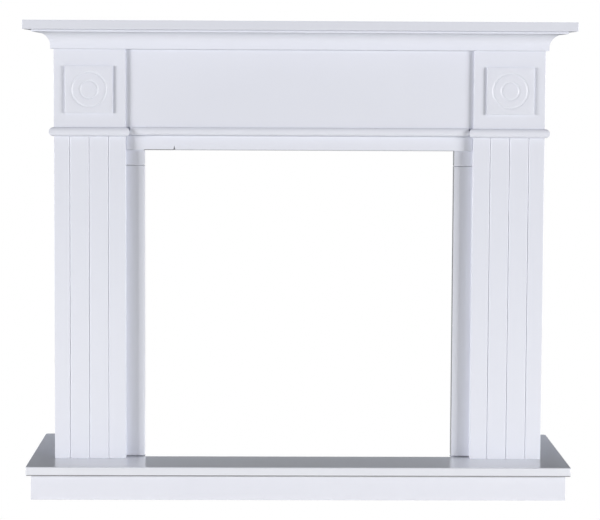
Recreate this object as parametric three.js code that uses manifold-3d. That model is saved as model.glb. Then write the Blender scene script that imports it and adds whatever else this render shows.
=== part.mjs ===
// Fireplace mantelpiece with its hearth, in painted board.
// Millimetres. +X right, +Z up, and the front faces -Y.
// The plane y = 0 is the front of the pilasters and the corner blocks.

import * as THREE from 'three';
import { mergeVertices } from 'three/addons/utils/BufferGeometryUtils.js';
import Module from 'manifold-3d';

// Board stock
const boardThickness = 18;
const friezeThickness = 12;
const lintelThickness = 6;
const plateThickness = 4;

// Shelf, which stands out by the same length in front and at both ends
const shelfOverhang = 16;
const shelfEase = 1;

// Hearth, by how far it reaches in front of the legs and beside them
const hearthReach = 76;
const hearthMargin = 49;
const slabBackCornerRadius = 5;
const slabFrontCornerRadius = 2.5;
const slabEase = 1.5;
const plinthHeight = 50;
const plinthSetback = 9;
const notchGap = 2;
const slipFootGap = 2;

// Legs and fire opening
const surroundWidth = 990;
const surroundDepth = 224;
const pilasterWidth = 144;
const pilasterHeight = 656.5;
const slipWidth = 37;
const lintelHeight = 28;
const tabLength = 30.5;
const seamGap = 1;

// Grooves and plates, centred a little outwards of the middle of the leg
const faceShift = 1.25;
const grooveCount = 3;
const groovePitch = 39;
const grooveWidth = 3.6;
const grooveDepth = 1.8;

// Beads, whose nose keeps a narrow flat in the middle
const beadFlat = 1;
const centreBeadHeight = 17;
const centreBeadLift = 1.5;
const beadSteps = 8;
const beadCornerRadius = 0.5;
const beadFit = 0.5;

// Corner blocks and rosette plates
const blockHeight = 157.5;
const plateSize = 95;
const plateDrop = 2.5;
const ringRadii = [17.5, 34.8];
const ringWidth = 6;
const ringDepth = 1.2;
const ringSegments = 72;

// Crown moulding, from the block face outwards
const lipProjection = 6;
const lipHeight = 7;
const coveProjection = 27.5;
const coveHeight = 26.5;
const soffit = 5.5;
const fasciaHeight = 4.5;
const coveSteps = 14;

// Heights and planes that follow
const slabTop = plinthHeight + boardThickness;
const beadBottom = slabTop + pilasterHeight;
const blockBottom = beadBottom + boardThickness;
const crownBottom = blockBottom + blockHeight;
const shelfBottom = crownBottom + lipHeight + coveHeight + fasciaHeight;
const openingTop = beadBottom - lintelHeight;
const seamTop = openingTop - tabLength;
const outerX = surroundWidth / 2;
const innerX = outerX - pilasterWidth;
const faceMiddleX = outerX - pilasterWidth / 2 + faceShift;
const slipX = innerX - slipWidth;
const wallY = surroundDepth;
const backPlane = boardThickness;
const friezeFrontY = backPlane - friezeThickness;
const lintelFrontY = backPlane - lintelThickness;
const frameY = backPlane + boardThickness;
const earY = frameY + notchGap;
const crownProjection = lipProjection + coveProjection + soffit;
const shelfFrontY = -(crownProjection + shelfOverhang);
const shelfEndX = outerX + crownProjection + shelfOverhang;
const slabEndX = outerX + hearthMargin;
const slabFrontY = -hearthReach;
const beadRadius = boardThickness / 2;
const beadRound = beadRadius - beadFlat / 2;
const centreBeadBottom = beadBottom + beadRadius + centreBeadLift - centreBeadHeight / 2;

const wasm = await Module();
wasm.setup();

// Turns a three.js geometry into a manifold solid.
function toSolid(geometry) {
  const bare = geometry.index ? geometry.toNonIndexed() : geometry.clone();
  bare.deleteAttribute('normal');
  bare.deleteAttribute('uv');
  bare.clearGroups();
  const merged = mergeVertices(bare, 1e-4);
  const vertProperties = new Float32Array(merged.attributes.position.array);
  const triVerts = new Uint32Array(merged.index.array);
  return new wasm.Manifold(new wasm.Mesh({ numProp: 3, vertProperties, triVerts }));
}

// Turns a manifold solid back into a three.js geometry.
function toGeometry(solid) {
  const mesh = solid.getMesh();
  const geometry = new THREE.BufferGeometry();
  geometry.setAttribute('position', new THREE.BufferAttribute(mesh.vertProperties, 3));
  geometry.setIndex(new THREE.BufferAttribute(mesh.triVerts, 1));
  return geometry;
}

// A box given by its lower and upper bound on each axis.
function box(x0, x1, y0, y1, z0, z1) {
  const geometry = new THREE.BoxGeometry(x1 - x0, y1 - y0, z1 - z0);
  return geometry.translate((x0 + x1) / 2, (y0 + y1) / 2, (z0 + z1) / 2);
}

// The outline through a list of points, each of which may carry a corner radius.
function outline(points, cornerSteps = 5) {
  const shape = new THREE.Shape();
  points.forEach(([x, y, radius = 0], i) => {
    const corner = new THREE.Vector2(x, y);
    const before = new THREE.Vector2(...points.at(i - 1)).sub(corner).normalize();
    const after = new THREE.Vector2(...points[(i + 1) % points.length]).sub(corner).normalize();
    const start = corner.clone().addScaledVector(before, radius);
    const end = corner.clone().addScaledVector(after, radius);
    if (i === 0) shape.moveTo(start.x, start.y);
    else shape.lineTo(start.x, start.y);
    if (radius === 0) return;
    const centre = start.clone().addScaledVector(after, radius);
    for (let step = 1; step < cornerSteps; step += 1) {
      const angle = (step / cornerSteps) * (Math.PI / 2);
      const point = centre.clone();
      point.addScaledVector(after, -radius * Math.cos(angle));
      point.addScaledVector(before, -radius * Math.sin(angle));
      shape.lineTo(point.x, point.y);
    }
    shape.lineTo(end.x, end.y);
  });
  return shape;
}

// Raises a plan outline from z0 to z1 and eases its upper and lower arrises.
function easedBoard(shape, z0, z1, ease) {
  const geometry = new THREE.ExtrudeGeometry(shape, {
    depth: z1 - z0 - 2 * ease,
    bevelThickness: ease,
    bevelSize: ease,
    bevelOffset: -ease,
    bevelSegments: 3,
  });
  return geometry.translate(0, 0, z0 + ease);
}

// Raises a plan outline from z0 to z1 with square edges.
function raised(shape, z0, z1) {
  const geometry = new THREE.ExtrudeGeometry(shape, { depth: z1 - z0, bevelEnabled: false });
  return geometry.translate(0, 0, z0);
}

// Stands an elevation outline, drawn in x and z, between two planes of y.
function upright(shape, y0, y1) {
  const geometry = new THREE.ExtrudeGeometry(shape, { depth: y1 - y0, bevelEnabled: false });
  geometry.rotateX(Math.PI / 2);
  return geometry.translate(0, y1, 0);
}

// The solid seen in a mirror on the plane x = 0.
function mirrored(geometry) {
  const copy = geometry.index ? geometry.toNonIndexed() : geometry.clone();
  copy.scale(-1, 1, 1);
  const position = copy.attributes.position;
  const first = new THREE.Vector3();
  const second = new THREE.Vector3();
  for (let i = 0; i < position.count; i += 3) {
    first.fromBufferAttribute(position, i);
    second.fromBufferAttribute(position, i + 1);
    position.setXYZ(i, second.x, second.y, second.z);
    position.setXYZ(i + 1, first.x, first.y, first.z);
  }
  return copy;
}

// The group's origin is on the floor, in the middle of the depth.
const group = new THREE.Group();
group.position.y = -(slabFrontY + wallY) / 2;

// Adds a painted piece to the group under its name.
function add(name, geometry) {
  const paint = new THREE.MeshStandardMaterial({ color: 0xe8e9ee, roughness: 0.35, metalness: 0 });
  const mesh = new THREE.Mesh(geometry, paint);
  mesh.name = name;
  group.add(mesh);
}

// Adds a piece of the right side and its mirror twin on the left.
function addPair(name, geometry) {
  add(`${name}_right`, geometry);
  add(`${name}_left`, mirrored(geometry));
}

// Hearth slab, cut away between the legs, with a short ear left under each slip
function hearthSlab() {
  const front = slabFrontCornerRadius;
  const back = slabBackCornerRadius;
  const shape = outline([
    [-slabEndX, slabFrontY, front],
    [slabEndX, slabFrontY, front],
    [slabEndX, wallY, back],
    [innerX, wallY],
    [innerX, earY],
    [slipX, earY],
    [slipX, backPlane],
    [-slipX, backPlane],
    [-slipX, earY],
    [-innerX, earY],
    [-innerX, wallY],
    [-slabEndX, wallY, back],
  ]);
  return easedBoard(shape, plinthHeight, slabTop, slabEase);
}

// Plinth boards under the slab
const plinthX = slabEndX - plinthSetback;
const plinthFrontY = slabFrontY + plinthSetback;
const plinthInnerY = plinthFrontY + boardThickness;
const railBackY = backPlane - notchGap;
add('hearth_slab', hearthSlab());
add('plinth_front', box(-plinthX, plinthX, plinthFrontY, plinthInnerY, 0, plinthHeight));
addPair('plinth_side', box(plinthX - boardThickness, plinthX, plinthInnerY, wallY, 0, plinthHeight));
const railX = plinthX - boardThickness;
add('plinth_rail', box(-railX, railX, railBackY - boardThickness, railBackY, 0, plinthHeight));

// Pilaster with V grooves, drawn in plan and raised
function pilaster() {
  const points = [
    [outerX, 0],
    [outerX, backPlane],
    [innerX, backPlane],
    [innerX, 0],
  ];
  for (let i = 0; i < grooveCount; i += 1) {
    const x = faceMiddleX + (i - (grooveCount - 1) / 2) * groovePitch;
    points.push([x - grooveWidth / 2, 0], [x, grooveDepth], [x + grooveWidth / 2, 0]);
  }
  return raised(outline(points), slabTop, beadBottom);
}
addPair('pilaster', pilaster());

// Leg board, whose inner strip shows as the slip, hung clear of the slab on the pilaster
const legBoardTop = seamTop - seamGap;
const sideX = outerX - boardThickness;
const legBoardFoot = slabTop + slipFootGap;
addPair('leg_board', box(slipX, outerX, backPlane, frameY, legBoardFoot, legBoardTop));
addPair('leg_side', box(sideX, outerX, frameY, wallY, slabTop, legBoardTop));

// Header board with a tab down beside the opening on each side
function headerBoard() {
  const shape = outline([
    [-outerX, seamTop],
    [-slipX, seamTop],
    [-slipX, openingTop],
    [slipX, openingTop],
    [slipX, seamTop],
    [outerX, seamTop],
    [outerX, shelfBottom],
    [-outerX, shelfBottom],
  ]);
  return upright(shape, backPlane, frameY);
}
add('header_board', headerBoard());
addPair('header_side', box(sideX, outerX, frameY, wallY, seamTop, shelfBottom));
add('frieze_board', box(-innerX, innerX, friezeFrontY, backPlane, centreBeadBottom, crownBottom));
add('lintel_board', box(-innerX, innerX, lintelFrontY, backPlane, openingTop, centreBeadBottom));
addPair('corner_block', box(innerX, outerX, 0, backPlane, blockBottom, crownBottom));

// Rosette plate with concentric V grooves
function rosettePlate() {
  const half = plateSize / 2;
  let plate = toSolid(box(-half, half, -plateThickness, 0, -half, half));
  const spare = 1;
  const flare = (ringWidth / 2) * (1 + spare / ringDepth);
  for (const radius of ringRadii) {
    const profile = [
      new THREE.Vector2(radius, -ringDepth),
      new THREE.Vector2(radius + flare, spare),
      new THREE.Vector2(radius - flare, spare),
      new THREE.Vector2(radius, -ringDepth),
    ];
    const ring = new THREE.LatheGeometry(profile, ringSegments);
    ring.rotateX(Math.PI);
    ring.translate(0, -plateThickness, 0);
    plate = plate.subtract(toSolid(ring));
  }
  const height = (blockBottom + crownBottom) / 2 - plateDrop;
  return toGeometry(plate).translate(faceMiddleX, 0, height);
}
addPair('rosette_plate', rosettePlate());

// Bullnose board between block and pilaster, flat at the back and cut back at the frieze
function capitalBead() {
  const reach = frameY;
  const corner = beadCornerRadius;
  const shape = outline([
    [innerX, 0, corner],
    [outerX, 0, corner],
    [outerX, reach],
    [innerX, reach],
  ]);
  const nosed = new THREE.ExtrudeGeometry(shape, {
    depth: beadFlat,
    bevelThickness: beadRound,
    bevelSize: beadRadius,
    bevelSegments: beadSteps,
  });
  nosed.translate(0, 0, beadBottom + beadRound);
  const nearX = innerX - boardThickness;
  const farX = outerX + boardThickness;
  const behind = box(nearX, farX, backPlane, reach + boardThickness, beadBottom - 1, blockBottom + 1);
  const frieze = box(nearX, innerX, friezeFrontY, frameY, beadBottom - 1, blockBottom + 1);
  return toGeometry(toSolid(nosed).subtract(toSolid(behind)).subtract(toSolid(frieze)));
}
addPair('bead', capitalBead());

// Half round section of a bead strip, drawn from its flat back at 0 out to its radius
function beadSection(bottom, height) {
  const radius = height / 2;
  const round = radius - beadFlat / 2;
  const points = [];
  for (let step = 0; step < beadSteps; step += 1) {
    const angle = (step / beadSteps) * (Math.PI / 2);
    points.push([radius * Math.sin(angle), round * (1 - Math.cos(angle))]);
  }
  points.push([radius, round]);
  const upper = points.map(([out, up]) => [out, height - up]).reverse();
  return outline([...points, ...upper].map(([out, up]) => [out, bottom + up]));
}
const returnSection = beadSection(beadBottom, boardThickness);
addPair('bead_return', upright(returnSection, backPlane, wallY).translate(outerX, 0, 0));

// Centre bead, cut square between the two bullnose boards
const centreSection = beadSection(centreBeadBottom, centreBeadHeight);
const beadCentreX = innerX - beadRadius - beadFit;
const centreBead = upright(centreSection, -beadCentreX, beadCentreX);
add('bead_centre', centreBead.rotateZ(-Math.PI / 2).translate(0, friezeFrontY, 0));

// Crown section, drawn from its flat back at 0 outwards
function crownSection() {
  const fasciaBottom = shelfBottom - fasciaHeight;
  const lipTop = crownBottom + lipHeight;
  const points = [
    [0, crownBottom],
    [lipProjection, crownBottom],
  ];
  for (let step = 0; step <= coveSteps; step += 1) {
    const angle = (step / coveSteps) * (Math.PI / 2);
    const out = lipProjection + coveProjection * (1 - Math.cos(angle));
    points.push([out, lipTop + coveHeight * Math.sin(angle)]);
  }
  points.push([crownProjection, fasciaBottom], [crownProjection, shelfBottom], [0, shelfBottom]);
  return outline(points);
}

// Puts every corner of a geometry where the given function says.
function reshape(geometry, place) {
  const position = geometry.attributes.position;
  for (let i = 0; i < position.count; i += 1) {
    const [x, y, z] = place(position.getX(i), position.getY(i), position.getZ(i));
    position.setXYZ(i, x, y, z);
  }
  return geometry;
}

// Front length of the crown, mitred at both ends and packed out to the header board
function crownFront() {
  const straight = upright(crownSection(), -outerX, outerX).rotateZ(-Math.PI / 2);
  const run = reshape(straight, (x, y, z) => [Math.sign(x) * (outerX - y), y, z]);
  const packing = box(-outerX, outerX, 0, backPlane, crownBottom, shelfBottom);
  return toGeometry(toSolid(run).add(toSolid(packing)));
}

// Return length of the crown, from the mitre back to the wall
function crownReturn() {
  const straight = upright(crownSection(), 0, wallY).translate(outerX, 0, 0);
  return reshape(straight, (x, y, z) => [x, y > 0 ? y : outerX - x, z]);
}
add('crown_front', crownFront());
addPair('crown_return', crownReturn());

// Mantel shelf
function mantelShelf() {
  const shape = outline([
    [-shelfEndX, shelfFrontY],
    [shelfEndX, shelfFrontY],
    [shelfEndX, wallY],
    [-shelfEndX, wallY],
  ]);
  return easedBoard(shape, shelfBottom, shelfBottom + boardThickness, shelfEase);
}
add('mantel_shelf', mantelShelf());

export default group;
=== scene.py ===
# Looks of the fireplace mantelpiece and its hearth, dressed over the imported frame.
# Metres, Z up, front towards -Y. Every piece takes its place and size from a CAD node.
import math

import bmesh
import bpy
from mathutils import Matrix, Vector


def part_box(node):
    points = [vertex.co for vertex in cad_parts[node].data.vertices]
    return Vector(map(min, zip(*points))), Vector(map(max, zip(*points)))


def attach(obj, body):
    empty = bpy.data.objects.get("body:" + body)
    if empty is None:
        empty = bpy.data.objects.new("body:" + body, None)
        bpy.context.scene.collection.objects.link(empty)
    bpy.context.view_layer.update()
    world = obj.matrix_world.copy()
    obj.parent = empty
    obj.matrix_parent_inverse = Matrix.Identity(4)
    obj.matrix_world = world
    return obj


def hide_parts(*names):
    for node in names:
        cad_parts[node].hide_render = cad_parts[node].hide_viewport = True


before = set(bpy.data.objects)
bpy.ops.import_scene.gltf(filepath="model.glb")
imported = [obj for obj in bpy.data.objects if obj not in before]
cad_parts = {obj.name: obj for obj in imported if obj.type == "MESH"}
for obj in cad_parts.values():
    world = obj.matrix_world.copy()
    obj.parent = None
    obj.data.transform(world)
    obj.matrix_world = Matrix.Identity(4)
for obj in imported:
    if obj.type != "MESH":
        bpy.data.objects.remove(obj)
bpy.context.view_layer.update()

MM = 0.001

# Arrises: machined board gets a light sanding before it is painted
ARRIS = 0.8 * MM
FINE_ARRIS = 0.5 * MM
LINTEL_ARRIS = 1.6 * MM
SHELF_ARRIS = 1.0 * MM
JOINT_ARRIS = 1.1 * MM
SLAB_ARRIS = 1.5 * MM
ARRIS_STEPS = 3
SLAB_ARRIS_STEPS = 4

# Flutes of the pilasters, in line with the middle of the rosette plate
FLUTE_PITCH = 39 * MM
FLUTE_WIDTH = 3.6 * MM
FLUTE_DEPTH = 1.8 * MM

# Turned rings of the rosette plates, their soft lips, and the margin left outside the turned round
RING_RADII = [17.5 * MM, 34.8 * MM]
RING_WIDTH = 6 * MM
RING_DEPTH = 1.2 * MM
RING_LIP = 0.7 * MM
RING_LIP_STEPS = 4
RING_SEGMENTS = 144
PLATE_MARGIN = 4 * MM

# Crown section, outwards from the face of the corner blocks
LIP = (6 * MM, 7 * MM)
COVE = (27.5 * MM, 26.5 * MM)
SOFFIT = 5.5 * MM
COVE_STEPS = 24

# Hearth plan: rounded corners, and the play behind the boards of the legs
SLAB_FRONT_RADIUS = 2.5 * MM
SLAB_BACK_RADIUS = 5 * MM
SLAB_CORNER_STEPS = 6
NOTCH_PLAY = 2 * MM

# Saw nick in the lower edge of the lintel
NICK_X = -253.3 * MM
NICK_WIDTH = 3 * MM
NICK_HEIGHT = 8 * MM

# Beads: the flat left in the middle of the nose, and the eased back, which leaves a dark crevice
NOSE_STEPS = 12
BEAD_FLAT = 1 * MM
BEAD_CREVICE = 0.7 * MM
CREVICE_STEPS = 2

# Lengths of crown before they are mitred, from the middle to either end
FRONT_REACH = 0.6
RETURN_REACH = 0.5

# Modelling limits: the share of a normal that lies in a direction when a face looks that way,
# the angles from which an edge is eased or shaded as a crease, and how near is the same place
SQUARELY = 0.9
SHARP = math.radians(40)
CREASE = math.radians(35)
TOUCH = 1e-6


def corners(node):
    """The lowest and highest corner of a CAD node."""
    low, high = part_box(node)
    return Vector(low), Vector(high)


# ---------------------------------------------------------------- materials

def linear(code):
    """An sRGB hex code as linear red, green, blue and alpha."""
    channels = [int(code[i:i + 2], 16) / 255 for i in (0, 2, 4)]
    return [c / 12.92 if c <= 0.04045 else ((c + 0.055) / 1.055) ** 2.4 for c in channels] + [1]


def add_node(tree, kind, inputs=(), **settings):
    """Adds a node with its settings. An input is a value, or a socket to link from."""
    made = tree.nodes.new(kind)
    for key, value in settings.items():
        setattr(made, key, value)
    for key, value in dict(inputs).items():
        if isinstance(value, bpy.types.NodeSocket):
            tree.links.new(value, made.inputs[key])
        else:
            made.inputs[key].default_value = value
    return made


def blank_material(name):
    """A material with an empty node tree and its output node."""
    material = bpy.data.materials.new(name)
    material.use_nodes = True
    material.node_tree.nodes.clear()
    return material, material.node_tree


def paint(name, light, dark, gloss, peel, wave, clear=0):
    """Sprayed paint on board: a cloudy tone, an uneven sheen and a fine orange peel.

    light and dark are the two tones, gloss the lowest and highest roughness,
    peel and wave the heights of the fine and the broad unevenness in metres, and
    clear the share of a clear coat on top.
    """
    material, tree = blank_material(name)
    place = add_node(tree, "ShaderNodeTexCoord").outputs["Object"]
    # Clouds 300 mm across, from coats that dried unevenly
    cloud = add_node(tree, "ShaderNodeTexNoise", {
        "Vector": place, "Scale": 3.3, "Detail": 3, "Roughness": 0.55,
    })
    tone = add_node(tree, "ShaderNodeMix", {
        "Factor": cloud.outputs["Fac"], "A": linear(dark), "B": linear(light),
    }, data_type="RGBA")
    # Sheen in patches 40 mm across
    patch = add_node(tree, "ShaderNodeTexNoise", {"Vector": place, "Scale": 25, "Detail": 2})
    sheen = add_node(tree, "ShaderNodeMapRange", {
        "Value": patch.outputs["Fac"], "To Min": gloss[0], "To Max": gloss[1],
    })
    # Orange peel with 2 mm bumps, over waves 30 mm long left by sanding
    fine = add_node(tree, "ShaderNodeTexNoise", {
        "Vector": place, "Scale": 480, "Detail": 2, "Roughness": 0.5,
    })
    broad = add_node(tree, "ShaderNodeTexNoise", {"Vector": place, "Scale": 33, "Detail": 1})
    waves = add_node(tree, "ShaderNodeBump", {"Height": broad.outputs["Fac"], "Distance": wave})
    skin = add_node(tree, "ShaderNodeBump", {
        "Height": fine.outputs["Fac"], "Distance": peel, "Normal": waves.outputs["Normal"],
    })
    shader = add_node(tree, "ShaderNodeBsdfPrincipled", {
        "Base Color": tone.outputs["Result"],
        "Roughness": sheen.outputs["Result"],
        "Normal": skin.outputs["Normal"],
        "IOR": 1.5,
        "Coat Weight": clear,
        "Coat Roughness": gloss[0],
    })
    add_node(tree, "ShaderNodeOutputMaterial", {"Surface": shader.outputs["BSDF"]})
    return material


# Satin lacquer: a cool, nearly even white with a soft sheen
satin_paint = paint(
    "satin_white_lacquer", "DBDEE8", "D7DAE5", (0.34, 0.38), 0.006 * MM, 0.01 * MM,
)
# The hearth has one more coat, rubbed flatter, so that it mirrors the legs
hearth_paint = paint(
    "hearth_white_lacquer", "DBDEE7", "D8DBE4", (0.22, 0.24), 0.003 * MM, 0.002 * MM, clear=1,
)
# Sealer on faces that stay hidden: thin, dull and a little greyer
back_paint = paint("board_sealer", "DDDCDA", "D2D1CE", (0.55, 0.7), 0.02 * MM, 0.04 * MM)
# Dark grey painted shade in the lintel's saw nick and on its lower arris left of the nick
painted_shade_dark = paint("painted_shade_dark_grey", "7C7C7E", "626264", (0.5, 0.6), 0.02 * MM, 0.01 * MM)
# Paler grey painted shade on the rest of the lintel's lower arris, over the opening
painted_shade_light = paint("painted_shade_pale_grey", "B9BCC2", "A6A9AF", (0.45, 0.55), 0.02 * MM, 0.01 * MM)
# Mid grey painted shade, dark lines: on the inner edge right of the opening and under the slab
painted_shade_edge = paint("painted_shade_edge_grey", "8F9196", "828489", (0.5, 0.6), 0.02 * MM, 0.01 * MM)


# ---------------------------------------------------------------- shaping

def block(low, high):
    """A bmesh block between two corners."""
    bm = bmesh.new()
    bmesh.ops.create_cube(bm, size=1)
    bmesh.ops.scale(bm, vec=high - low, verts=bm.verts)
    bmesh.ops.translate(bm, vec=(high + low) / 2, verts=bm.verts)
    return bm


def ease(bm, radius, edges=None, steps=ARRIS_STEPS):
    """Rounds the given edges, or all that are sharp, with smooth strips."""
    if edges is None:
        edges = [e for e in bm.edges if e.calc_face_angle(0) > SHARP]
    made = bmesh.ops.bevel(
        bm, geom=edges, offset=radius, offset_type="OFFSET", segments=steps,
        profile=0.5, affect="EDGES", material=-1, clamp_overlap=True,
    )
    for face in made["faces"]:
        face.smooth = True


def edges_where(bm, test):
    """The edges whose two ends both pass a test."""
    return [e for e in bm.edges if all(test(v.co) for v in e.verts)]


def cut(bm, point, normal, keep=True):
    """Cuts along a plane.

    Without keep, the side that the normal points to is cut off and the rest closed.
    """
    made = bmesh.ops.bisect_plane(
        bm, geom=bm.verts[:] + bm.edges[:] + bm.faces[:], dist=1e-7,
        plane_co=point, plane_no=normal, clear_outer=not keep,
    )
    if not keep:
        rim = [g for g in made["geom_cut"] if isinstance(g, bmesh.types.BMEdge)]
        bmesh.ops.edgeloop_fill(bm, edges=rim)


def score(bm, x, width, inside, push):
    """Scores a V: cuts at its two lips and its middle, and pushes in the middle of one side."""
    for at in (x - width / 2, x, x + width / 2):
        cut(bm, (at, 0, 0), (1, 0, 0))
    line = [v for v in bm.verts if abs(v.co.x - x) < TOUCH and inside(v.co)]
    bmesh.ops.translate(bm, vec=push, verts=line)


def extrude(bm, faces, along):
    """Draws faces out by a vector."""
    made = bmesh.ops.extrude_face_region(bm, geom=faces)
    moved = [g for g in made["geom"] if isinstance(g, bmesh.types.BMVert)]
    bmesh.ops.translate(bm, vec=along, verts=moved)


def prism(points, along):
    """Raises a closed outline, given by its corners, by a vector."""
    bm = bmesh.new()
    rim = [bm.verts.new(p) for p in points]
    base = bm.faces.new(rim)
    extrude(bm, [base], along)
    bmesh.ops.recalc_face_normals(bm, faces=bm.faces)
    return bm


def piece(bm, name, *nodes, coat=satin_paint, hidden=(), painted_shade_for=None):
    """Makes the object, which takes the place of its CAD nodes.

    Faces that look in a hidden direction get the sealer instead of the coat. An edge
    beside a flat face is marked sharp, so that no flat bleeds into a rounded strip.
    The last argument may give a face another coat, a darker one for painted shade.
    """
    coats = [coat, back_paint]
    for face in bm.faces:
        other = painted_shade_for(face) if painted_shade_for else None
        if any(face.normal.dot(Vector(way)) > SQUARELY for way in hidden):
            other = back_paint
        if other and other not in coats:
            coats.append(other)
        face.material_index = coats.index(other or coat)
    for edge in bm.edges:
        edge.smooth = all(f.smooth for f in edge.link_faces) and edge.calc_face_angle(0) < CREASE
    mesh = bpy.data.meshes.new(name)
    bm.to_mesh(mesh)
    bm.free()
    for each in coats:
        mesh.materials.append(each)
    made = bpy.data.objects.new(name, mesh)
    bpy.context.scene.collection.objects.link(made)
    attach(made, "root")
    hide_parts(*nodes)


def mirrored(bm):
    """The same shape on the other side of the middle, with its faces turned out again."""
    twin = bm.copy()
    bmesh.ops.scale(twin, vec=(-1, 1, 1), verts=twin.verts)
    bmesh.ops.reverse_faces(twin, faces=twin.faces)
    return twin


def pair(bm, name, node, hidden=(), **finish):
    """Makes a piece of the right side and its twin on the left."""
    hidden_left = [(-x, y, z) for x, y, z in hidden]
    piece(mirrored(bm), f"{name}_left", f"{node}_left", hidden=hidden_left, **finish)
    piece(bm, f"{name}_right", f"{node}_right", hidden=hidden, **finish)


# Directions that stay hidden: to the wall, into the work and to the floor
BACK = (0, 1, 0)
INWARD = (-1, 0, 0)
DOWN = (0, 0, -1)


def plain_board(node, radius=ARRIS):
    """A board the size of its CAD node, with eased arrises."""
    bm = block(*corners(node))
    ease(bm, radius)
    return bm


# ---------------------------------------------------------------- hearth

def hearth_slab():
    """The slab, notched between the legs.

    Its four outer corners are rounded and its arrises eased, but for the upper front
    edge of the notch, which stays as it was sawn.
    """
    low, high = corners("hearth_slab")
    notch = corners("leg_board_right")[0]
    pilaster = corners("pilaster_right")
    step_x = pilaster[0].x
    edge_y = pilaster[1].y
    ear_y = corners("leg_board_right")[1].y + NOTCH_PLAY
    plan = [
        (low.x, low.y), (high.x, low.y), (high.x, high.y), (step_x, high.y),
        (step_x, ear_y), (notch.x, ear_y), (notch.x, edge_y), (-notch.x, edge_y),
        (-notch.x, ear_y), (-step_x, ear_y), (-step_x, high.y), (low.x, high.y),
    ]
    bm = prism([(x, y, low.z) for x, y in plan], (0, 0, high.z - low.z))
    for y, radius in ((low.y, SLAB_FRONT_RADIUS), (high.y, SLAB_BACK_RADIUS)):
        upright = [
            e for e in bm.edges
            if all(abs(abs(v.co.x) - high.x) < TOUCH and abs(v.co.y - y) < TOUCH for v in e.verts)
        ]
        ease(bm, radius, upright, SLAB_CORNER_STEPS)
    ease(bm, SLAB_ARRIS, edges_where(bm, lambda co: abs(co.z - low.z) < TOUCH), SLAB_ARRIS_STEPS)
    upper = edges_where(bm, lambda co: abs(co.z - high.z) < TOUCH)
    eased = [e for e in upper if not all(abs(v.co.y - edge_y) < TOUCH for v in e.verts)]
    ease(bm, SLAB_ARRIS, eased, SLAB_ARRIS_STEPS)
    return bm


# The slab's downward faces get painted shade, a dark line under its front edge
piece(
    hearth_slab(), "hearth", "hearth_slab", coat=hearth_paint, hidden=[BACK, DOWN],
    painted_shade_for=lambda face: painted_shade_edge if face.normal.z < -0.1 else None,
)
piece(plain_board("plinth_front"), "plinth_board_front", "plinth_front", hidden=[BACK, DOWN])
pair(plain_board("plinth_side_right"), "plinth_board", "plinth_side", hidden=[BACK, INWARD, DOWN])


# ---------------------------------------------------------------- legs

def fluted_board():
    """Pilaster with eased arrises and three V flutes, cut with sharp lips."""
    low, high = corners("pilaster_right")
    bm = block(low, high)
    ease(bm, ARRIS)
    plate_low, plate_high = corners("rosette_plate_right")
    middle = (plate_low.x + plate_high.x) / 2
    for step in (-1, 0, 1):
        x = middle + step * FLUTE_PITCH
        score(bm, x, FLUTE_WIDTH, lambda co: co.y < low.y + 1.5 * ARRIS, (0, FLUTE_DEPTH, 0))
    return bm


def opening_edge_painted_shade(face):
    """Painted shade on the inner edge right of the opening, a dark line down it."""
    return painted_shade_edge if face.normal.x < -0.6 and face.calc_center_median().x > 0 else None


pair(fluted_board(), "fluted_board", "pilaster", hidden=[BACK])
piece(
    mirrored(plain_board("leg_board_right", JOINT_ARRIS)), "slip_board_left", "leg_board_left",
    hidden=[BACK],
)
# The right slip's inner edge gets painted shade
piece(
    plain_board("leg_board_right", JOINT_ARRIS), "slip_board_right", "leg_board_right",
    hidden=[BACK], painted_shade_for=opening_edge_painted_shade,
)
pair(plain_board("leg_side_right"), "leg_cheek", "leg_side", hidden=[BACK, INWARD])


# ---------------------------------------------------------------- header

def header_panel():
    """The board behind the frieze, with a short tab down beside the opening."""
    low, high = corners("header_board")
    slip_x = corners("leg_board_right")[0].x
    top = corners("lintel_board")[0].z
    outline = [
        (low.x, low.z), (-slip_x, low.z), (-slip_x, top), (slip_x, top),
        (slip_x, low.z), (high.x, low.z), (high.x, high.z), (low.x, high.z),
    ]
    bm = prism([(x, low.y, z) for x, z in outline], (0, high.y - low.y, 0))
    ease(bm, JOINT_ARRIS)
    return bm


def lintel_strip():
    """The strip over the opening, with a saw nick below and cuts where the painted shade on its lower
    arris ends.
    """
    low, high = corners("lintel_board")
    bm = block(low, high)
    ease(bm, LINTEL_ARRIS)
    for side in (-1, 1):
        cut(bm, (side * corners("leg_board_right")[0].x, 0, 0), (1, 0, 0))
    arris_top = low.z + 1.5 * LINTEL_ARRIS
    score(bm, NICK_X, NICK_WIDTH, lambda co: co.z < arris_top, (0, 0, NICK_HEIGHT))
    return bm


def lintel_painted_shade(face):
    """Painted shade: dark grey in the nick and on the lower arris left of it, paler grey on the rest.
    """
    at = face.calc_center_median()
    if abs(at.x - NICK_X) < NICK_WIDTH / 2 and abs(face.normal.x) > 0.5:
        return painted_shade_dark
    above = at.z > corners("lintel_board")[0].z + LINTEL_ARRIS
    if above or abs(at.x) > corners("leg_board_right")[0].x:
        return None
    return painted_shade_dark if at.x < NICK_X + NICK_WIDTH else painted_shade_light


# The header's tab right of the opening gets painted shade on its inner edge
piece(header_panel(), "header_panel", "header_board", hidden=[BACK], painted_shade_for=opening_edge_painted_shade)
pair(plain_board("header_side_right"), "header_cheek", "header_side", hidden=[BACK, INWARD])
piece(plain_board("frieze_board", FINE_ARRIS), "frieze_panel", "frieze_board", hidden=[BACK])
# The lintel gets painted shade in its nick and on its lower arris
piece(
    lintel_strip(), "lintel_strip", "lintel_board", hidden=[BACK], painted_shade_for=lintel_painted_shade,
)
pair(plain_board("corner_block_right"), "block", "corner_block", hidden=[BACK])


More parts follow.
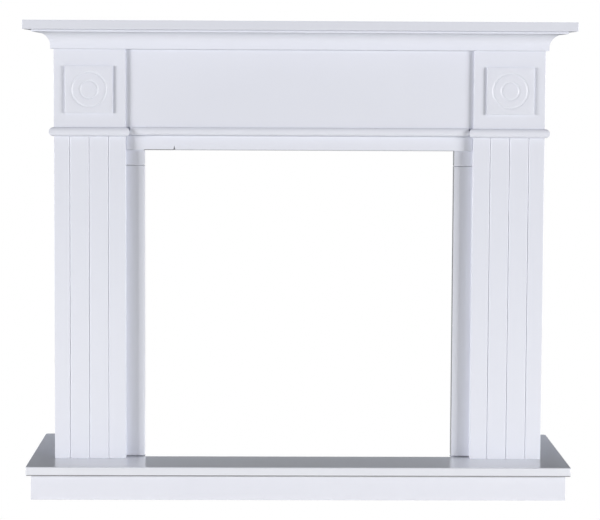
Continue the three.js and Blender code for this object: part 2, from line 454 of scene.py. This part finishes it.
def rosette():
    """A square plate with two turned V rings, spun from its section and squared off."""
    low, high = corners("rosette_plate_right")
    centre = (low + high) / 2
    face_y = low.y
    half = (high.x - low.x) / 2
    section = [(0, 0)]
    for radius in RING_RADII:
        section += [(radius - RING_WIDTH / 2, 0), (radius, RING_DEPTH), (radius + RING_WIDTH / 2, 0)]
    section.append((half - PLATE_MARGIN, 0))
    bm = bmesh.new()
    chain = [bm.verts.new((centre.x + out, face_y + deep, centre.z)) for out, deep in section]
    for first, second in zip(chain, chain[1:]):
        bm.edges.new((first, second))
    # Soft lips and floor of each ring
    bmesh.ops.bevel(
        bm, geom=chain[1:-1], offset=RING_LIP, offset_type="OFFSET", segments=RING_LIP_STEPS,
        profile=0.5, affect="VERTICES", material=-1, clamp_overlap=True,
    )
    bmesh.ops.spin(
        bm, geom=bm.verts[:] + bm.edges[:], cent=(centre.x, 0, centre.z), axis=(0, 1, 0),
        angle=math.tau, steps=RING_SEGMENTS, use_merge=True,
    )
    bmesh.ops.remove_doubles(bm, verts=bm.verts, dist=TOUCH)
    for face in bm.faces:
        face.smooth = True
    rim = [e for e in bm.edges if e.is_boundary]
    made = bmesh.ops.extrude_edge_only(bm, edges=rim)
    outer = [g for g in made["geom"] if isinstance(g, bmesh.types.BMVert)]
    for v in outer:
        out = v.co - Vector((centre.x, v.co.y, centre.z))
        v.co += out * (half / max(abs(out.x), abs(out.z)) - 1)
    rim = [e for e in bm.edges if e.is_boundary]
    made = bmesh.ops.extrude_edge_only(bm, edges=rim)
    back = [g for g in made["geom"] if isinstance(g, bmesh.types.BMVert)]
    bmesh.ops.translate(bm, vec=(0, high.y - low.y, 0), verts=back)
    bmesh.ops.edgeloop_fill(bm, edges=[e for e in bm.edges if e.is_boundary])
    bmesh.ops.recalc_face_normals(bm, faces=bm.faces)
    ease(bm, FINE_ARRIS, [e for e in rim if e.is_valid])
    return bm


pair(rosette(), "rosette", "rosette_plate", hidden=[BACK])


# ---------------------------------------------------------------- beads

def nosed(bm, radius, sides):
    """Rounds the upper and lower edges of a strip on the given sides to a half-round nose."""
    low_z = min(v.co.z for v in bm.verts)
    high_z = max(v.co.z for v in bm.verts)
    edges = edges_where(bm, lambda co: sides(co) and abs(co.z - low_z) < TOUCH)
    edges += edges_where(bm, lambda co: sides(co) and abs(co.z - high_z) < TOUCH)
    ease(bm, radius, edges, NOSE_STEPS)
    return bm


def bullnose():
    """The board between block and pilaster, nosed in front and at both ends, notched for the frieze.

    It is nosed while it is still too deep, cut off in line with the frieze, and
    drawn out again behind on the outer side of the notch.
    """
    low, high = corners("bead_right")
    frieze_y = corners("frieze_board")[0].y
    inner_x = corners("pilaster_right")[0].x
    radius = (high.z - low.z - BEAD_FLAT) / 2
    surplus = 40 * MM
    bm = block(low, Vector((high.x, high.y + surplus, high.z)))
    edges = [
        e for e in bm.edges
        if abs(e.verts[0].co.z - e.verts[1].co.z) < TOUCH and not all(v.co.y > high.y for v in e.verts)
    ]
    ease(bm, radius, edges, NOSE_STEPS)
    # Cuts close to the round ends, so that their shading stays off the long straight part
    round_end = radius + 1 * MM
    for x in (low.x + round_end, high.x - round_end):
        cut(bm, (x, 0, 0), (1, 0, 0))
    cut(bm, (0, frieze_y, 0), BACK, keep=False)
    cut(bm, (inner_x, 0, 0), (1, 0, 0))
    rear = [
        f for f in bm.faces
        if f.normal.y > SQUARELY
        and f.calc_center_median().y > frieze_y - 10 * TOUCH
        and f.calc_center_median().x > inner_x
    ]
    extrude(bm, rear, (0, high.y - frieze_y, 0))
    bmesh.ops.delete(bm, geom=[f for f in rear if f.is_valid], context="FACES_ONLY")
    return bm


def bead_strip(node, across, front, rear):
    """A straight bead. across is the axis of its depth, front and rear are its two planes there."""
    low, high = corners(node)
    along = 1 - across
    radius = (high.z - low.z - BEAD_FLAT) / 2
    bm = nosed(block(low, high), radius, lambda co: abs(co[across] - front) < TOUCH)
    behind = edges_where(bm, lambda co: abs(co[across] - rear) < TOUCH)
    lengthwise = [e for e in behind if abs(e.verts[0].co[along] - e.verts[1].co[along]) > 10 * MM]
    ease(bm, BEAD_CREVICE, lengthwise, CREVICE_STEPS)
    return bm


def bead_return():
    """The bead carried along the side of the header."""
    low, high = corners("bead_return_right")
    return bead_strip("bead_return_right", 0, high.x, low.x)


def centre_bead():
    """The half-round strip across the frieze."""
    low, high = corners("bead_centre")
    return bead_strip("bead_centre", 1, low.y, high.y)


pair(bullnose(), "bullnose", "bead", hidden=[BACK])
pair(bead_return(), "bullnose_return", "bead_return", hidden=[BACK])
piece(centre_bead(), "half_round", "bead_centre", hidden=[BACK])


# ---------------------------------------------------------------- crown and shelf

def crown_run(reach):
    """A straight run of the crown along X, its back on y = 0, which reaches out past the mitres."""
    low, high = corners("crown_front")
    lip_top = low.z + LIP[1]
    cove_top = lip_top + COVE[1]
    depth = LIP[0] + COVE[0] + SOFFIT
    bm = bmesh.new()
    # A quarter turn of radius 1, stretched to the cove's own reach and rise
    start = bm.verts.new((-reach, 0, 0))
    bmesh.ops.spin(
        bm, geom=[start], cent=(0, -1, 0), axis=(1, 0, 0), angle=math.pi / 2,
        steps=COVE_STEPS, use_merge=False,
    )
    bmesh.ops.scale(bm, vec=(1, COVE[0], COVE[1]), verts=bm.verts)
    bmesh.ops.translate(bm, vec=(0, -LIP[0], lip_top), verts=bm.verts)
    ends = sorted((v for v in bm.verts if len(v.link_edges) == 1), key=lambda v: v.co.z)
    rest = [(-depth, cove_top), (-depth, high.z), (0, high.z), (0, low.z), (-LIP[0], low.z)]
    chain = [ends[1]] + [bm.verts.new((-reach, y, z)) for y, z in rest] + [ends[0]]
    for first, second in zip(chain, chain[1:]):
        bm.edges.new((first, second))
    bmesh.ops.contextual_create(bm, geom=bm.edges[:])
    extrude(bm, bm.faces[:], (2 * reach, 0, 0))
    bmesh.ops.recalc_face_normals(bm, faces=bm.faces)
    # The flats of the cove are smooth, the upright, level and end faces are not
    for face in bm.faces:
        face.smooth = abs(face.normal.x) < 0.1 and 0.02 < abs(face.normal.z) < 0.9998
    arrises = edges_where(bm, lambda co: co.y < -LIP[0] + TOUCH and co.z < lip_top - TOUCH)
    arrises += edges_where(bm, lambda co: co.y < -depth + TOUCH)
    ease(bm, FINE_ARRIS, [e for e in arrises if abs(e.verts[0].co.x - e.verts[1].co.x) > reach])
    return bm


def crown_front():
    """The front length, mitred at both ends and packed out behind to the header."""
    block_low, block_high = corners("corner_block_right")
    bm = crown_run(FRONT_REACH)
    bmesh.ops.translate(bm, vec=(0, block_low.y, 0), verts=bm.verts)
    for side in (1, -1):
        cut(bm, (side * block_high.x, block_low.y, 0), (side, 1, 0), keep=False)
    rear = [f for f in bm.faces if f.normal.y > SQUARELY]
    extrude(bm, rear, (0, block_high.y - block_low.y, 0))
    return bm


def crown_return():
    """The length at the side, mitred in front and square at the wall."""
    block_low, block_high = corners("corner_block_right")
    wall_y = corners("crown_return_right")[1].y
    bm = crown_run(RETURN_REACH)
    quarter_turn = Matrix.Rotation(math.pi / 2, 3, "Z")
    bmesh.ops.rotate(bm, cent=(0, 0, 0), matrix=quarter_turn, verts=bm.verts)
    bmesh.ops.translate(bm, vec=(block_high.x, 0, 0), verts=bm.verts)
    cut(bm, (block_high.x, block_low.y, 0), (-1, -1, 0), keep=False)
    cut(bm, (0, wall_y, 0), BACK, keep=False)
    return bm


piece(crown_front(), "crown_mould_front", "crown_front", hidden=[BACK])
pair(crown_return(), "crown_mould", "crown_return", hidden=[BACK])
piece(plain_board("mantel_shelf", SHELF_ARRIS), "shelf", "mantel_shelf", hidden=[BACK])

# The rail under the slab keeps its CAD mesh
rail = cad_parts["plinth_rail"]
rail.data.materials.clear()
rail.data.materials.append(back_paint)


# ---------------------------------------------------------------- setting

# The sheet lies a hair below the plinth and reaches out further in front
FLOOR_HALF = 1.25
FLOOR_MIDDLE = (0, -0.5, -0.2 * MM)


def studio_floor():
    """A pale sheet under the work, which throws light up at its foot. The camera doesn't see it."""
    bm = bmesh.new()
    bmesh.ops.create_grid(bm, x_segments=1, y_segments=1, size=FLOOR_HALF)
    bmesh.ops.translate(bm, vec=FLOOR_MIDDLE, verts=bm.verts)
    mesh = bpy.data.meshes.new("studio_floor")
    bm.to_mesh(mesh)
    bm.free()
    material, tree = blank_material("pale_floor")
    shader = add_node(tree, "ShaderNodeBsdfPrincipled", {
        "Base Color": linear("F0EDE6"), "Roughness": 0.9,
    })
    add_node(tree, "ShaderNodeOutputMaterial", {"Surface": shader.outputs["BSDF"]})
    mesh.materials.append(material)
    floor = bpy.data.objects.new("studio_floor", mesh)
    bpy.context.scene.collection.objects.link(floor)
    floor.visible_camera = False


def softbox(name, place, target, size, power, colour, mirrored_light=True):
    """An area light at a place, turned to its target. It may be kept out of the paint's sheen."""
    light = bpy.data.lights.new(name, "AREA")
    light.shape = "RECTANGLE"
    light.size, light.size_y = size
    light.energy = power
    light.color = colour
    made = bpy.data.objects.new(name, light)
    made.location = place
    made.rotation_euler = (Vector(target) - Vector(place)).to_track_quat("-Z", "Y").to_euler()
    made.visible_glossy = mirrored_light
    bpy.context.scene.collection.objects.link(made)


# A warm lamp far out on either side, a cool fill over the shelf and a warm one behind
MIDDLE = (0, 0, 0.5)
WARM = (1, 0.985, 0.97)
COOL = (0.85, 0.93, 1)

studio_floor()
softbox("softbox_left", (-5.0, -2.45, 0.95), MIDDLE, (1.9, 0.9), 318, WARM)
softbox("softbox_right", (5.0, -2.45, 0.95), MIDDLE, (1.9, 0.9), 328, WARM)
softbox("softbox_overhead", (0, 0.5, 3), MIDDLE, (1.5, 1.0), 48, COOL, mirrored_light=False)
softbox("softbox_behind", (0, 2.8, 1.1), MIDDLE, (2.0, 1.0), 50, WARM, mirrored_light=False)

# White behind the work, seen by the camera alone
world = bpy.data.worlds.new("white_surround")
world.use_nodes = True
world.node_tree.nodes["Background"].inputs["Color"].default_value = (1, 1, 1, 1)
bpy.context.scene.world = world
world.cycles_visibility.diffuse = False
world.cycles_visibility.glossy = False

# Viewpoint of the photograph: where the lens stands, how it is turned, and its shifted frame
LENS_PLACE = Vector((-0.0615054, -3.3066033, 0.8546717))
TURN, TILT, ROLL = -0.0107515, -0.0594213, 0.0046494

lens = bpy.data.cameras.new("camera")
lens.sensor_fit = "HORIZONTAL"
lens.sensor_width = 36
lens.lens = 96.27
lens.shift_x = 0.0229
lens.shift_y = -0.1536
camera = bpy.data.objects.new("camera", lens)
camera.matrix_world = (
    Matrix.Translation(LENS_PLACE)
    @ Matrix.Rotation(TURN, 4, "Z")
    @ Matrix.Rotation(math.pi / 2 + TILT, 4, "X")
    @ Matrix.Rotation(ROLL, 4, "Z")
)
bpy.context.scene.collection.objects.link(camera)
bpy.context.scene.camera = camera
bpy.context.scene.view_settings.view_transform = "Standard"
